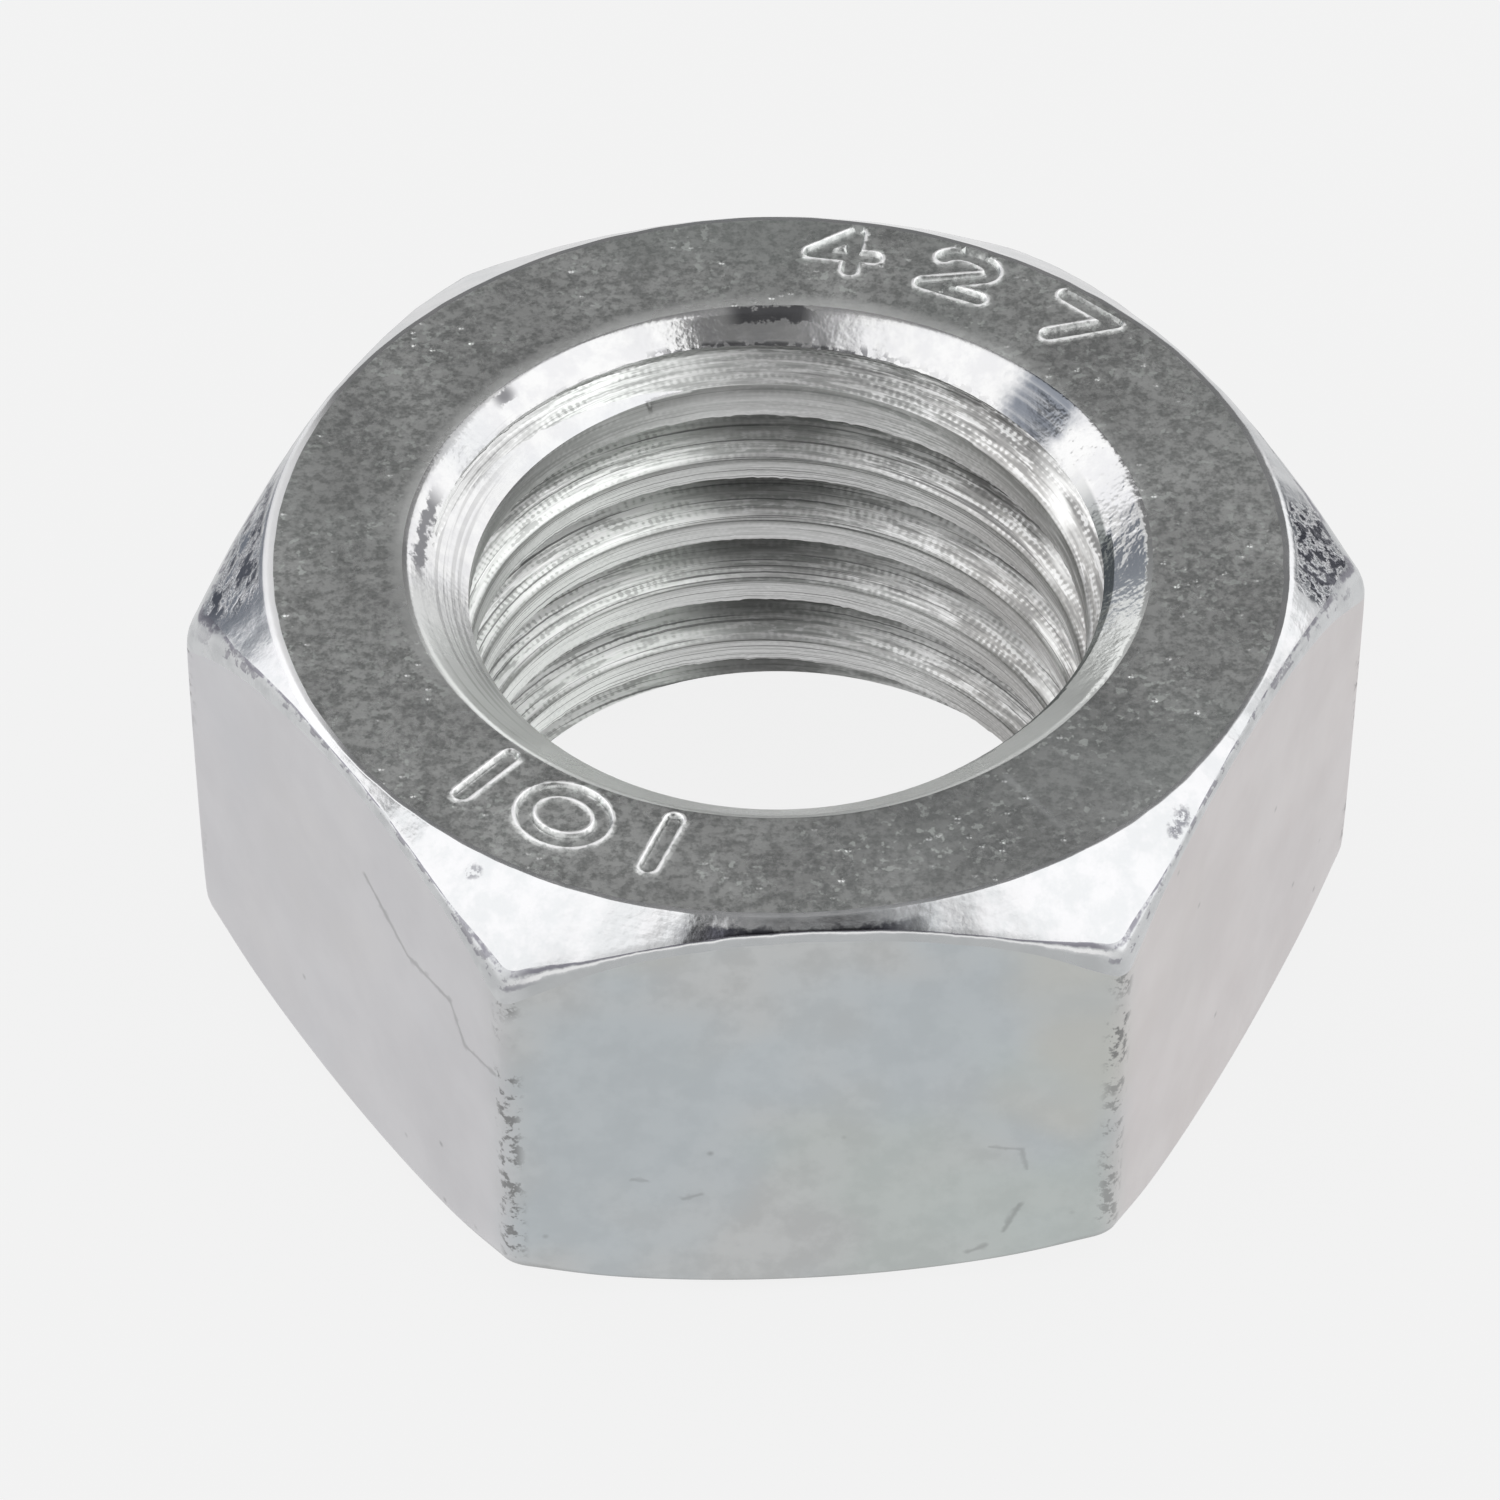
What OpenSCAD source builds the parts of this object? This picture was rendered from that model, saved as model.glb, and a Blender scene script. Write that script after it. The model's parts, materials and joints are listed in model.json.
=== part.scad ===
// Hexagon nut for an M24 x 3 thread: one forged and tapped piece of zinc-plated steel.
// A hexagonal bar with rounded upright edges is turned to a cone at both ends, which
// leaves a flat bearing ring on each face and a curved edge along the top and bottom
// of every flat. The bore is at the diameter of the thread crests, and a countersink
// with a rolled rim opens it at both ends.
// +Z is the thread axis. The origin is the middle of the lower bearing face.
// Two of the six flats are square to Y.

/* [Hexagon] */
// Width across flats, the wrench size
across_flats = 35.2; // [34.5:0.1:37]
// Height from bearing face to bearing face
nut_height = 17.8; // [14:0.1:24]
// Radius of the six upright edges
edge_radius = 0.5; // [0.2:0.1:1.5]

/* [Upper end] */
// Diameter of the upper bearing ring, where its chamfer starts
upper_ring_d = 34.5; // [33.2:0.1:34.8]
// Slope of the upper chamfer below the bearing face
upper_chamfer_angle = 38; // [15:1:45]

/* [Lower end] */
// Diameter of the lower bearing ring, where its chamfer starts
lower_ring_d = 33.6; // [33.2:0.1:34.8]
// Slope of the lower chamfer above the bearing face
lower_chamfer_angle = 28; // [15:1:45]

/* [Bore] */
// Diameter of the bore, which is that of the thread crests
crest_d = 21.1; // [20.8:0.05:21.2]
// Diameter of each countersink at the bearing face
mouth_d = 25.7; // [24:0.1:26]
// Included angle of each countersink
mouth_angle = 110; // [90:5:120]
// Radius that rolls the bearing face into the countersink
rim_radius = 1.6; // [0.4:0.1:2]

/* [Hidden] */
// Sides of the polygons that stand for circles
$fn = 144;
// Overlap that keeps cutters clear of the faces that they cut
clear = 1;
corner_radius = across_flats / (2 * cos(30));
crest_r = crest_d / 2;
mouth_r = mouth_d / 2;
// Slope of the countersink below the bearing face
mouth_slope = 90 - mouth_angle / 2;
mouth_depth = (mouth_r - crest_r) * tan(mouth_slope);
// Length of face, and of cone, that the rolled rim takes up
rim_reach = rim_radius * tan(mouth_slope / 2);

// Section of the bar: a hexagon whose corners are arcs of the edge radius
module rounded_hexagon() {
    // Each arc is centred in its corner and touches the two flats beside it
    arc_centre = corner_radius - edge_radius / cos(30);
    // Both ends of every flat, each square out from an arc centre by the edge radius
    flat_ends = [for (side = [0:5], end = [-30, 30])
        arc_centre * [cos(60 * side + 30 + end), sin(60 * side + 30 + end)]
        + edge_radius * [cos(60 * side + 30), sin(60 * side + 30)]];
    polygon(flat_ends);
    for (corner = [0:5])
        rotate(60 * corner)
            translate([arc_centre, 0])
                circle(r = edge_radius);
}

// Turned outline of the nut: a bearing ring and a cone at each end
module crowned_blank() {
    blank_r = corner_radius + clear;
    upper_drop = (blank_r - upper_ring_d / 2) * tan(upper_chamfer_angle);
    lower_rise = (blank_r - lower_ring_d / 2) * tan(lower_chamfer_angle);
    rotate_extrude()
        polygon([
            [0, 0],
            [lower_ring_d / 2, 0],
            [blank_r, lower_rise],
            [blank_r, nut_height - upper_drop],
            [upper_ring_d / 2, nut_height],
            [0, nut_height]
        ]);
}

// Cutter for one countersink, with its mouth at z = 0 and its depth below it
module countersink() {
    roll_centre = mouth_r + rim_reach;
    rotate_extrude()
        union() {
            difference() {
                polygon([
                    [0, 0],
                    [roll_centre, 0],
                    [mouth_r - rim_reach * cos(mouth_slope), -rim_reach * sin(mouth_slope)],
                    [crest_r, -mouth_depth],
                    [0, -mouth_depth]
                ]);
                translate([roll_centre, -rim_radius])
                    circle(r = rim_radius);
            }
            square([roll_centre, clear]);
        }
}

// The nut: crowned hexagon, bored through and countersunk at both ends
module hex_nut() {
    color("silver")
    difference() {
        intersection() {
            linear_extrude(height = nut_height)
                rounded_hexagon();
            crowned_blank();
        }
        translate([0, 0, -clear])
            cylinder(r = crest_r, h = nut_height + 2 * clear);
        translate([0, 0, nut_height])
            countersink();
        mirror([0, 0, 1])
            countersink();
    }
}

hex_nut();
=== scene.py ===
import json
from math import cos, pi, radians, sin, sqrt, tan, tau

import bpy
import numpy as np
from mathutils import Matrix, Vector
from mathutils.geometry import delaunay_2d_cdt


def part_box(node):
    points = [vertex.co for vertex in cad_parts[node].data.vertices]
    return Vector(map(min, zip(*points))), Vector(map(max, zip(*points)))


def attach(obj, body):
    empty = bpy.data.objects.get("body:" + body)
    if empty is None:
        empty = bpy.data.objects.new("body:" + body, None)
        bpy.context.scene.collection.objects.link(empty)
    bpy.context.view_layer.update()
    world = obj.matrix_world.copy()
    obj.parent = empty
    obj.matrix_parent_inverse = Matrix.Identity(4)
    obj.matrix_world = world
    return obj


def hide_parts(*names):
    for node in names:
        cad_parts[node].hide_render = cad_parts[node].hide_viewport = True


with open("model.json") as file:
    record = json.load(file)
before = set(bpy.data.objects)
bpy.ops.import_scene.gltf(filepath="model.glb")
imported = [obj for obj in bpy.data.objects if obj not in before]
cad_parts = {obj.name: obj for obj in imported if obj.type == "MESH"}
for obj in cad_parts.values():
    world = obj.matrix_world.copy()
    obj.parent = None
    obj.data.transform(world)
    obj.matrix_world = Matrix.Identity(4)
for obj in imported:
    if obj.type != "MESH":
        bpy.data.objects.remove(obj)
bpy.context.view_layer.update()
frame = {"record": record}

# ---- sizes, in millimetres
MM = 0.001
LOW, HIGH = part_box("hex_nut")
FLATS = (HIGH.y - LOW.y) / MM
HEIGHT = HIGH.z / MM
BORE_MOUNT = next(m for m in frame["record"]["mounts"] if m["name"] == "thread_bore")
CREST_R = BORE_MOUNT["dims"]["r_mm"]

SKIN = 0.07  # the faces lie this far inside the CAD box, so that ridges and ripples stay in it
TOP = HEIGHT - SKIN
FOOT = 0.02
HALF_FLATS = FLATS / 2 - 0.01

PITCH = 3.0
LAND = 0.95  # flat crest of the thread
FLANK = 0.837  # height of a 60 degree thread flank
ROOT_R = 12.0
FIRST_LAND = 3.14  # lower edge of the first full land below the top face, at the back
BORE_SHIFT = Vector((-0.01, -0.27, 0))  # the bore was drilled slightly off centre

MOUTH_R = 12.60
MOUTH_SLOPE = radians(37.7)  # a 105 degree countersink
MOUTH_TILT = radians(2.2)  # it was cut a little askew, so it is flatter at the back
LEAD_SLOPE = radians(30)  # its first cut, beside the rim, is shallower
LEAD_WIDTH = 0.16
ROLL_DROP = 0.06  # the face rolls down by this much towards the mouth
RIM_SOFT = 0.09  # rounding of the rim itself

TOP_RING_R = 17.26
TOP_CHAMFER = radians(37.7)
RING_WEAR = radians(27)  # slope of the worn strip between the ring and its chamfer
FOOT_RING_R = 16.75
FOOT_CHAMFER = radians(27.5)

SECTOR = pi / 3  # from one upright edge to the next
OUTER_COLUMNS_FLAT = 84  # columns round the outside, on each flat
OUTER_COLUMNS_EDGE = 34  # and across each upright edge
BORE_COLUMNS = 400
SIDE_RINGS = 13  # down each flat, between its rounded ends
HALF_EDGE = radians(3.2)  # half the width of the fine columns at an upright edge


# ---- small helpers
def ripple(x, length, seed, waves=24, octaves=3.0):
    """A smooth irregular wave of x, about -1 to 1, whose longest swing is length."""
    rng = np.random.RandomState(seed)
    steps = 2 ** rng.uniform(0, octaves, waves)
    phases = rng.uniform(0, tau, waves)
    x = np.asarray(x, dtype=float)
    total = np.zeros_like(x)
    for step, phase in zip(steps, phases):
        total += np.sin(tau * x * step / length + phase)
    return total / sqrt(waves)


def ring_ripple(theta, lowest, highest, seed):
    """A wave that closes on itself round the nut, with that many swings a turn."""
    rng = np.random.RandomState(seed)
    theta = np.asarray(theta, dtype=float)
    total = np.zeros_like(theta)
    counts = np.arange(lowest, highest + 1)
    for n in counts:
        total += np.sin(n * theta + rng.uniform(0, tau)) * rng.uniform(0.4, 1)
    return total / sqrt(len(counts))


def near(theta, bearing, reach):
    """1 at a bearing and less round it, down to a third at reach; angles in degrees, theta in radians."""
    gap = (np.degrees(theta) - bearing + 180) % 360 - 180
    return np.exp(-((gap / reach) ** 2))


def smooth(low, high, x):
    """A soft step from 0, where x is low, to 1, where it is high."""
    t = np.clip((np.asarray(x, dtype=float) - low) / (high - low), 0, 1)
    return t * t * (3 - 2 * t)


def add_object(name, data):
    """An object in the scene, at the origin."""
    made = bpy.data.objects.new(name, data)
    bpy.context.scene.collection.objects.link(made)
    return made


# ---- stamped marks
def arc(cx, cy, rx, ry, start, end, steps=16):
    """Points on an ellipse's arc between two bearings in degrees."""
    turn = np.radians(np.linspace(start, end, steps + 1))
    return [(cx + rx * cos(a), cy + ry * sin(a)) for a in turn]


GLYPHS = {  # strokes in a box one wide and one high, centred on the origin
    "bar": [[(0, -0.5), (0, 0.5)]],
    "0": [arc(0, 0, 0.5, 0.5, 0, 360, 40)],
    "4": [[(0.15, -0.5), (0.15, 0.5), (-0.5, -0.12), (0.5, -0.12)]],
    "2": [arc(0, 0.22, 0.46, 0.28, 165, -35) + [(-0.5, -0.5), (0.5, -0.5)]],
    "7": [[(-0.5, 0.5), (0.5, 0.5), (-0.12, -0.5)]],
}
# glyph, bearing round the face and distance from the axis of its centre, width, height, lean
MARKS = [
    ("bar", -135.5, 14.4, 0.0, 2.3, 0),
    ("0", -122.9, 14.4, 2.7, 2.2, 0),
    ("bar", -109.2, 14.35, 0.0, 2.2, -6),
    ("4", 77.6, 15.65, 2.2, 2.0, 0),
    ("2", 61.7, 15.65, 2.1, 2.0, 0),
    ("7", 44.6, 15.55, 2.2, 2.0, 0),
]
STROKE = 0.21  # half width of a stroke's flat floor
RIDGE = 0.35  # distance of the raised ridge from the stroke's centre line
RIDGE_WIDTH = 0.085
MARK_REACH = 0.60  # beyond this distance from a stroke the face is plain
MARK_GRID = 0.068  # spacing of the mesh round the strokes
STAMP_CONTOURS = (0.10, 0.20, 0.27, 0.34, 0.42, 0.52)  # distances that the mesh keeps to
STAMP_DEPTH = 0.14
RIDGE_HEIGHT = 0.055


def mark_strokes():
    """Every stroke of the marks as an array of points on the top face, in millimetres."""
    strokes = []
    for glyph, bearing, radius, width, height, lean in MARKS:
        a = radians(bearing)
        centre = np.array((radius * cos(a), radius * sin(a)))
        facing = a - pi / 2 + radians(lean)
        right = np.array((cos(facing), sin(facing)))
        up = np.array((-right[1], right[0]))
        for stroke in GLYPHS[glyph]:
            strokes.append(np.array([centre + right * x * width + up * y * height for x, y in stroke]))
    return strokes


STROKES = mark_strokes()


def stroke_distance(points):
    """Distance of each point from the nearest stroke's centre line, and the nearest place on it."""
    best = np.full(len(points), 1e9)
    nearest = np.zeros_like(points)
    for stroke in STROKES:
        for a, b in zip(stroke[:-1], stroke[1:]):
            along = b - a
            t = np.clip(((points - a) @ along) / (along @ along), 0, 1)
            foot = a + t[:, None] * along
            d = np.linalg.norm(points - foot, axis=1)
            closer = d < best
            best[closer] = d[closer]
            nearest[closer] = foot[closer]
    return best, nearest


def stamp_ridge(distance):
    """1 on the raised ridge round a stroke, 0 away from it."""
    return np.exp(-(((distance - RIDGE) / RIDGE_WIDTH) ** 2))


def stamp(distance):
    """Height of the face round a stroke: a sunk flat floor inside a raised ridge."""
    floor = -STAMP_DEPTH * (1 - smooth(STROKE - 0.03, RIDGE - 0.07, distance))
    return floor + RIDGE_HEIGHT * stamp_ridge(distance)


# ---- the nut's outer shape
def outer_columns():
    """Bearings of the outer columns: close together at the six upright edges."""
    edge = np.linspace(-1, 1, OUTER_COLUMNS_EDGE + 1)[:-1]
    edge = HALF_EDGE * np.sign(edge) * np.abs(edge) ** 1.35
    flat = np.linspace(HALF_EDGE, SECTOR - HALF_EDGE, OUTER_COLUMNS_FLAT + 1)[:-1]
    sector = np.concatenate((edge, flat))
    return np.concatenate([sector + k * pi / 3 for k in range(6)])


def corner_angle(theta):
    """Angle from the nearest upright edge; they lie on the bearings 0, 60, 120 and so on."""
    return np.abs((theta + SECTOR / 2) % SECTOR - SECTOR / 2)


def hexagon_radius(theta, z):
    """Distance from the axis to the rounded hexagon at a height."""
    edge_r = upright_edge_radius(z, theta)
    phi = corner_angle(theta)
    flat = HALF_FLATS / np.cos(SECTOR / 2 - phi)
    centre = (HALF_FLATS - edge_r) / cos(SECTOR / 2)
    turn_end = np.arctan2(edge_r * sin(SECTOR / 2), centre + edge_r * cos(SECTOR / 2))
    inside = np.maximum(edge_r**2 - (centre * np.sin(phi)) ** 2, 0)
    rounded = centre * np.cos(phi) + np.sqrt(inside)
    return np.where(phi < turn_end, rounded, flat)


def upright_edge_radius(z, theta):
    """The upright edges are rounder where the forging die didn't fill, near both ends."""
    middle = (z - HEIGHT / 2) / (HEIGHT / 2)
    return 0.55 + 0.55 * np.abs(middle) ** 3 * (1 + 0.3 * ring_ripple(theta, 1, 5, 3))


def ring_of(radius, height):
    """A ring of a profile as an array (radius, height), where either may change with the bearing."""
    return np.array(np.broadcast_arrays(radius, height))


def bend(before, corner, after, reach_in, reach_out, steps):
    """Rings that round off the corner of a profile."""
    start_way = before - corner
    end_way = after - corner
    start = corner + start_way / np.linalg.norm(start_way, axis=0) * reach_in
    end = corner + end_way / np.linalg.norm(end_way, axis=0) * reach_out
    rings = []
    for t in np.linspace(0, 1, steps + 1):
        rings.append(start * (1 - t) ** 2 + corner * 2 * t * (1 - t) + end * t**2)
    return rings


def between(start, end, count):
    """count rings strictly between two rings of a profile."""
    return [start + (end - start) * k / (count + 1) for k in range(1, count + 1)]


def face_waviness(x, y):
    """Height of the faces' slight waves."""
    return 0.008 * np.sin(0.9 * x + 1.3) * np.sin(0.8 * y + 0.4)


# ---- mesh assembly
class Skin:
    """A closed mesh that grows ring by ring.

    strip holds, by face, the places of its corners along and across the thread; worn is by point."""

    def __init__(self):
        self.points = []
        self.faces = []
        self.zones = []
        self.strip = {}
        self.worn = {}

    def add(self, xyz):
        first = len(self.points)
        self.points.extend(map(tuple, xyz))
        return list(range(first, len(self.points)))

    def face(self, corners, zone, strip=None):
        """Adds a face, less its repeated corners; one with under three corners left is skipped."""
        kept = [k for k, c in enumerate(corners) if c != corners[k - 1]]
        if len({corners[k] for k in kept}) < 3:
            return
        if strip is not None:
            self.strip[len(self.faces)] = [strip[k] for k in kept]
        self.faces.append([corners[k] for k in kept])
        self.zones.append(zone)

    def band(self, outer, inner, zone):
        """Quads between two closed rings with the same number of points."""
        n = len(outer)
        for k in range(n):
            j = (k + 1) % n
            self.face((outer[k], inner[k], inner[j], outer[j]), zone)

    def seam(self, outer, outer_turn, inner, inner_turn, zone):
        """Triangles between two closed rings with different numbers of points."""
        a, b = 0, 0
        n, m = len(outer), len(inner)
        turn_a = list(outer_turn) + [outer_turn[0] + tau]
        turn_b = list(inner_turn) + [inner_turn[0] + tau]
        while a < n or b < m:
            if b >= m or (a < n and turn_a[a + 1] <= turn_b[b + 1]):
                self.face((outer[a % n], inner[b % m], outer[(a + 1) % n]), zone)
                a += 1
            else:
                self.face((outer[a % n], inner[b % m], inner[(b + 1) % m]), zone)
                b += 1


def polar(theta, radius, height, shift=(0, 0)):
    """Points of a ring about an upright axis that is shifted from the nut's own."""
    x = radius * np.cos(theta) + shift[0]
    y = radius * np.sin(theta) + shift[1]
    return np.stack((x, y, np.broadcast_to(height, x.shape)), axis=1)


def wavy(theta, radius, height, reach, shift=(0, 0)):
    """A ring that has the face's waves, which fade out over that reach below the face."""
    xyz = polar(theta, radius, height, shift)
    xyz[:, 2] += face_waviness(xyz[:, 0], xyz[:, 1]) * smooth(TOP - reach, TOP, height)
    return xyz


FACE, CHAMFER, EDGE, FLAT, COUNTERSINK, THREAD = range(6)


def build_outside(skin):
    """The chamfers, flats and upright edges. Returns the first and last ring and their bearings."""
    theta = outer_columns()
    ring = TOP_RING_R + 0.04 * ring_ripple(theta, 2, 6, 11) + 0.012 * ring_ripple(theta, 20, 90, 12)
    ring = ring - 0.15 * near(theta, -90, 20) - 0.13 * near(theta, -34, 12)
    foot_ring = FOOT_RING_R + 0.05 * ring_ripple(theta, 2, 6, 13)
    foot_ring = foot_ring + 0.40 * near(theta, -120, 22) + 0.12 * near(theta, -60, 22)
    body = hexagon_radius(theta, HEIGHT / 2)
    body_top = hexagon_radius(theta, HEIGHT - 2.5)
    body_foot = hexagon_radius(theta, 2.0)
    shoulder = TOP - (body_top - ring) * tan(TOP_CHAMFER) + 0.02 * ring_ripple(theta, 8, 60, 14)
    ankle = FOOT + (body_foot - foot_ring) * tan(FOOT_CHAMFER)
    face_in = ring_of(ring - 1, TOP)
    top_corner = ring_of(ring, TOP)
    worn = 0.03 + 0.18 * near(theta, 172, 24) + 0.22 * near(theta, 8, 24)
    worn_end = ring_of(ring + worn, TOP - worn * tan(RING_WEAR))
    shoulder_corner = ring_of(body_top, shoulder)
    belt = ring_of(body, HEIGHT / 2)
    ankle_corner = ring_of(body_foot, ankle)
    foot_corner = ring_of(foot_ring, FOOT)
    foot_in = ring_of(foot_ring - 1, FOOT)

    slant = np.linalg.norm(shoulder_corner - worn_end, axis=0)
    corner = np.exp(-((corner_angle(theta) / 0.10) ** 2))
    sides = near(theta, 8, 26) + near(theta, 172, 26)
    upper = bend(face_in, top_corner, worn_end, 0.16, 0.4 * worn, 3)
    upper += bend(top_corner, worn_end, shoulder_corner, 0.4 * worn, np.minimum(0.10, 0.25 * slant), 3)
    hip_in = np.minimum(0.15 + 0.45 * corner + 0.40 * sides, 0.45 * slant)
    hip = bend(worn_end, shoulder_corner, belt, hip_in, 0.32 + 0.45 * corner + 0.25 * sides, 6)
    knee = bend(belt, ankle_corner, foot_corner, 0.35 + 0.45 * corner, 0.15 + 0.40 * corner, 5)
    lower = bend(ankle_corner, foot_corner, foot_in, 0.12, 0.16, 3)
    side = []
    for k in range(1, SIDE_RINGS + 1):
        t = k / (SIDE_RINGS + 1)
        z = hip[-1][1] * (1 - t) + knee[0][1] * t
        side.append(ring_of(hexagon_radius(theta, z), z))
    profile = [(r, CHAMFER) for r in upper + between(upper[-1], hip[0], 4)]
    profile += [(r, EDGE) for r in hip[:-1]] + [(r, FLAT) for r in hip[-1:] + side]
    profile += [(r, FLAT) for r in knee[:-1]]
    profile += [(r, CHAMFER) for r in knee[-1:] + between(knee[-1], lower[0], 3) + lower]
    rings = [(skin.add(wavy(theta, radius, height, 1.5)), zone) for (radius, height), zone in profile]
    for (a, zone), (b, _) in zip(rings[:-1], rings[1:]):
        skin.band(a, b, zone)
    return theta, rings[0][0], rings[-1][0]


def face_points(outer_xy, inner_xy, inner_turn):
    """Mesh points between two rings: sparse on the plain face, dense and in contours at the marks."""
    loose = []
    for radius in np.arange(13.3, 17.0, 0.55):
        turn = np.linspace(0, tau, int(tau * radius / 0.5), endpoint=False)
        loose.append(polar(turn, radius, 0)[:, :2])
    loose = np.concatenate(loose)
    loose = loose[stroke_distance(loose)[0] > MARK_REACH + 0.1]
    fine = []
    for stroke in STROKES:
        low = stroke.min(axis=0) - MARK_REACH
        high = stroke.max(axis=0) + MARK_REACH
        gx, gy = np.meshgrid(*(np.arange(low[k], high[k], MARK_GRID) for k in (0, 1)))
        fine.append(np.stack((gx.ravel(), gy.ravel()), axis=1))
    fine = np.concatenate(fine)
    distance, nearest = stroke_distance(fine)
    keep = distance < MARK_REACH
    fine, distance, nearest = fine[keep], distance[keep], nearest[keep]
    contours = np.array(STAMP_CONTOURS)
    pick = contours[np.abs(distance[:, None] - contours).argmin(axis=1)]
    snap = (np.abs(pick - distance) < 0.04) & (distance > 0.05)
    away = (fine - nearest) / np.maximum(distance, 1e-6)[:, None]
    fine = np.where(snap[:, None], nearest + away * pick[:, None], fine)
    inside = np.concatenate((loose, fine))
    centre = np.array(BORE_SHIFT[:2])
    bearing = np.arctan2(inside[:, 1] - centre[1], inside[:, 0] - centre[0])
    rim = np.interp(bearing, inner_turn, np.linalg.norm(inner_xy - centre, axis=1), period=tau)
    clear_of_mouth = np.linalg.norm(inside - centre, axis=1) > rim + 0.05
    clear_of_edge = np.linalg.norm(inside, axis=1) < np.linalg.norm(outer_xy, axis=1).min() - 0.05
    inside = inside[clear_of_mouth & clear_of_edge]
    return inside[np.unique(np.round(inside / 0.02).astype(int), axis=0, return_index=True)[1]]


def build_top_face(skin, outer, inner, inner_turn):
    """The flat annulus between two rings that are already in the skin, with its stamped marks."""
    outer_xy = np.array([skin.points[k][:2] for k in outer])
    inner_xy = np.array([skin.points[k][:2] for k in inner])
    inside = face_points(outer_xy, inner_xy, inner_turn)
    known = np.concatenate((outer_xy, inner_xy))
    n, m = len(outer), len(inner)
    edges = [(k, (k + 1) % n) for k in range(n)] + [(n + k, n + (k + 1) % m) for k in range(m)]
    cloud = [Vector(p) for p in np.concatenate((known, inside))]
    points, _, triangles, origin, _, _ = delaunay_2d_cdt(cloud, edges, [], 1, 1e-7, True)
    spots = np.array([tuple(p) for p in points])
    distance = stroke_distance(spots)[0]
    height = TOP + face_waviness(spots[:, 0], spots[:, 1]) + stamp(distance)
    ring_vertices = outer + inner
    index = []
    for k, (p, z) in enumerate(zip(spots, height)):
        if origin[k] and origin[k][0] < n + m:
            index.append(ring_vertices[origin[k][0]])
        else:
            index.append(skin.add([(p[0], p[1], z)])[0])
    skin.worn.update(zip(index, stamp_ridge(distance)))
    border = np.array([1 if o and o[0] < n else 2 if o and o[0] < n + m else 0 for o in origin])
    for tri in triangles:
        # one whose corners all lie on the same rim spans the mouth, so it is left out
        if len(set(border[list(tri)])) > 1 or border[tri[0]] == 0:
            skin.face([index[k] for k in tri], FACE)


# ---- countersinks and thread
def rim_profile(face_height, inward):
    """Rings of a rolled rim from the face to the countersink; inward is -1 at the top, 1 below.

    Returns the bearings, the rings that belong to the face and the rings of the countersink."""
    turn = np.linspace(-pi / 2, 1.5 * pi, BORE_COLUMNS, endpoint=False)
    mouth = mouth_radius(turn, inward)
    roll_width = 0.30 + 0.16 * np.sin(turn) + 0.03 * ring_ripple(turn, 1, 7, 25 + inward)
    roll = mouth + roll_width
    rim_height = face_height + inward * ROLL_DROP
    lead_height = rim_height + inward * LEAD_WIDTH * tan(LEAD_SLOPE)
    outside = ring_of(roll + 1, face_height)
    shoulder = ring_of(roll, face_height)
    rim = ring_of(mouth, rim_height)
    lead = ring_of(mouth - LEAD_WIDTH, lead_height)
    deep = lead + ring_of(-1, inward * np.tan(mouth_slope(turn)))
    rolled = bend(outside, shoulder, rim, 0.4 * roll_width, 0.4 * roll_width, 4)
    inner = bend(shoulder, rim, lead, RIM_SOFT, RIM_SOFT, 3) + bend(rim, lead, deep, 0.06, 0.06, 2)
    return turn, rolled, inner


def mouth_radius(turn, inward):
    """Radius of a countersink's rim about the bore's axis; the rim itself is centred on the nut."""
    off_centre = -BORE_SHIFT.y * np.sin(turn) + 0.045 * np.cos(2 * turn) - 0.15 * near(turn, -45, 30)
    return MOUTH_R + off_centre + 0.03 * ring_ripple(turn, 1, 4, 21 + inward)


def mouth_slope(turn):
    """Slope of a countersink below the face."""
    return MOUTH_SLOPE - MOUTH_TILT * np.sin(turn)


def cone_radius(z, turn, face_height, inward):
    """Radius of a countersink at a height, about the bore's axis."""
    lead_height = face_height + inward * (ROLL_DROP + LEAD_WIDTH * tan(LEAD_SLOPE))
    return mouth_radius(turn, inward) - LEAD_WIDTH - (z - lead_height) * inward / np.tan(mouth_slope(turn))


# rows of points across one pitch, from the lower edge of a land
ACROSS = (0.0, 0.05, 0.32, 0.63, 0.90, 0.96, 1.06, 1.22, 1.40,
          1.58, 1.72, 1.80, 1.97, 2.15, 2.25, 2.5, 2.8, 2.95)
FIRST_TURN_EXTRA = 0.47  # the last turn below the upper mouth has a land this much wider at the back
FIRST_TURN_REACH = 12.0  # distance along the helix over which it narrows to the others
# places along the helix, counted from the first full land's middle at the back
FIRST_LAND_START = -pi * CREST_R
FIRST_GROOVE_END = -3 * pi * CREST_R


def thread_radius(across, extra):
    """The thread's profile over one pitch, from the lower edge of a land, with rounded corners."""
    depth = ROOT_R - CREST_R
    root = depth - 0.5 * extra
    upper_flank = FLANK - 0.6 * extra
    total = 0
    for offset in (-0.045, -0.015, 0.015, 0.045):
        place = (across + offset) % PITCH
        rise = np.minimum((place - LAND - extra) * root / upper_flank, (PITCH - place) * depth / FLANK)
        total = total + np.clip(rise, 0, root)
    return CREST_R + total / 4


def helix_rows():
    """Height at the back of the nut, turn number and place across the thread of each row."""
    turns = int(HEIGHT / PITCH) + 3
    turn_number = np.repeat(np.arange(turns), len(ACROSS)) - (turns - 2)
    across = np.tile(ACROSS, turns)
    return TOP - FIRST_LAND + turn_number * PITCH + across, turn_number, across


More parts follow.
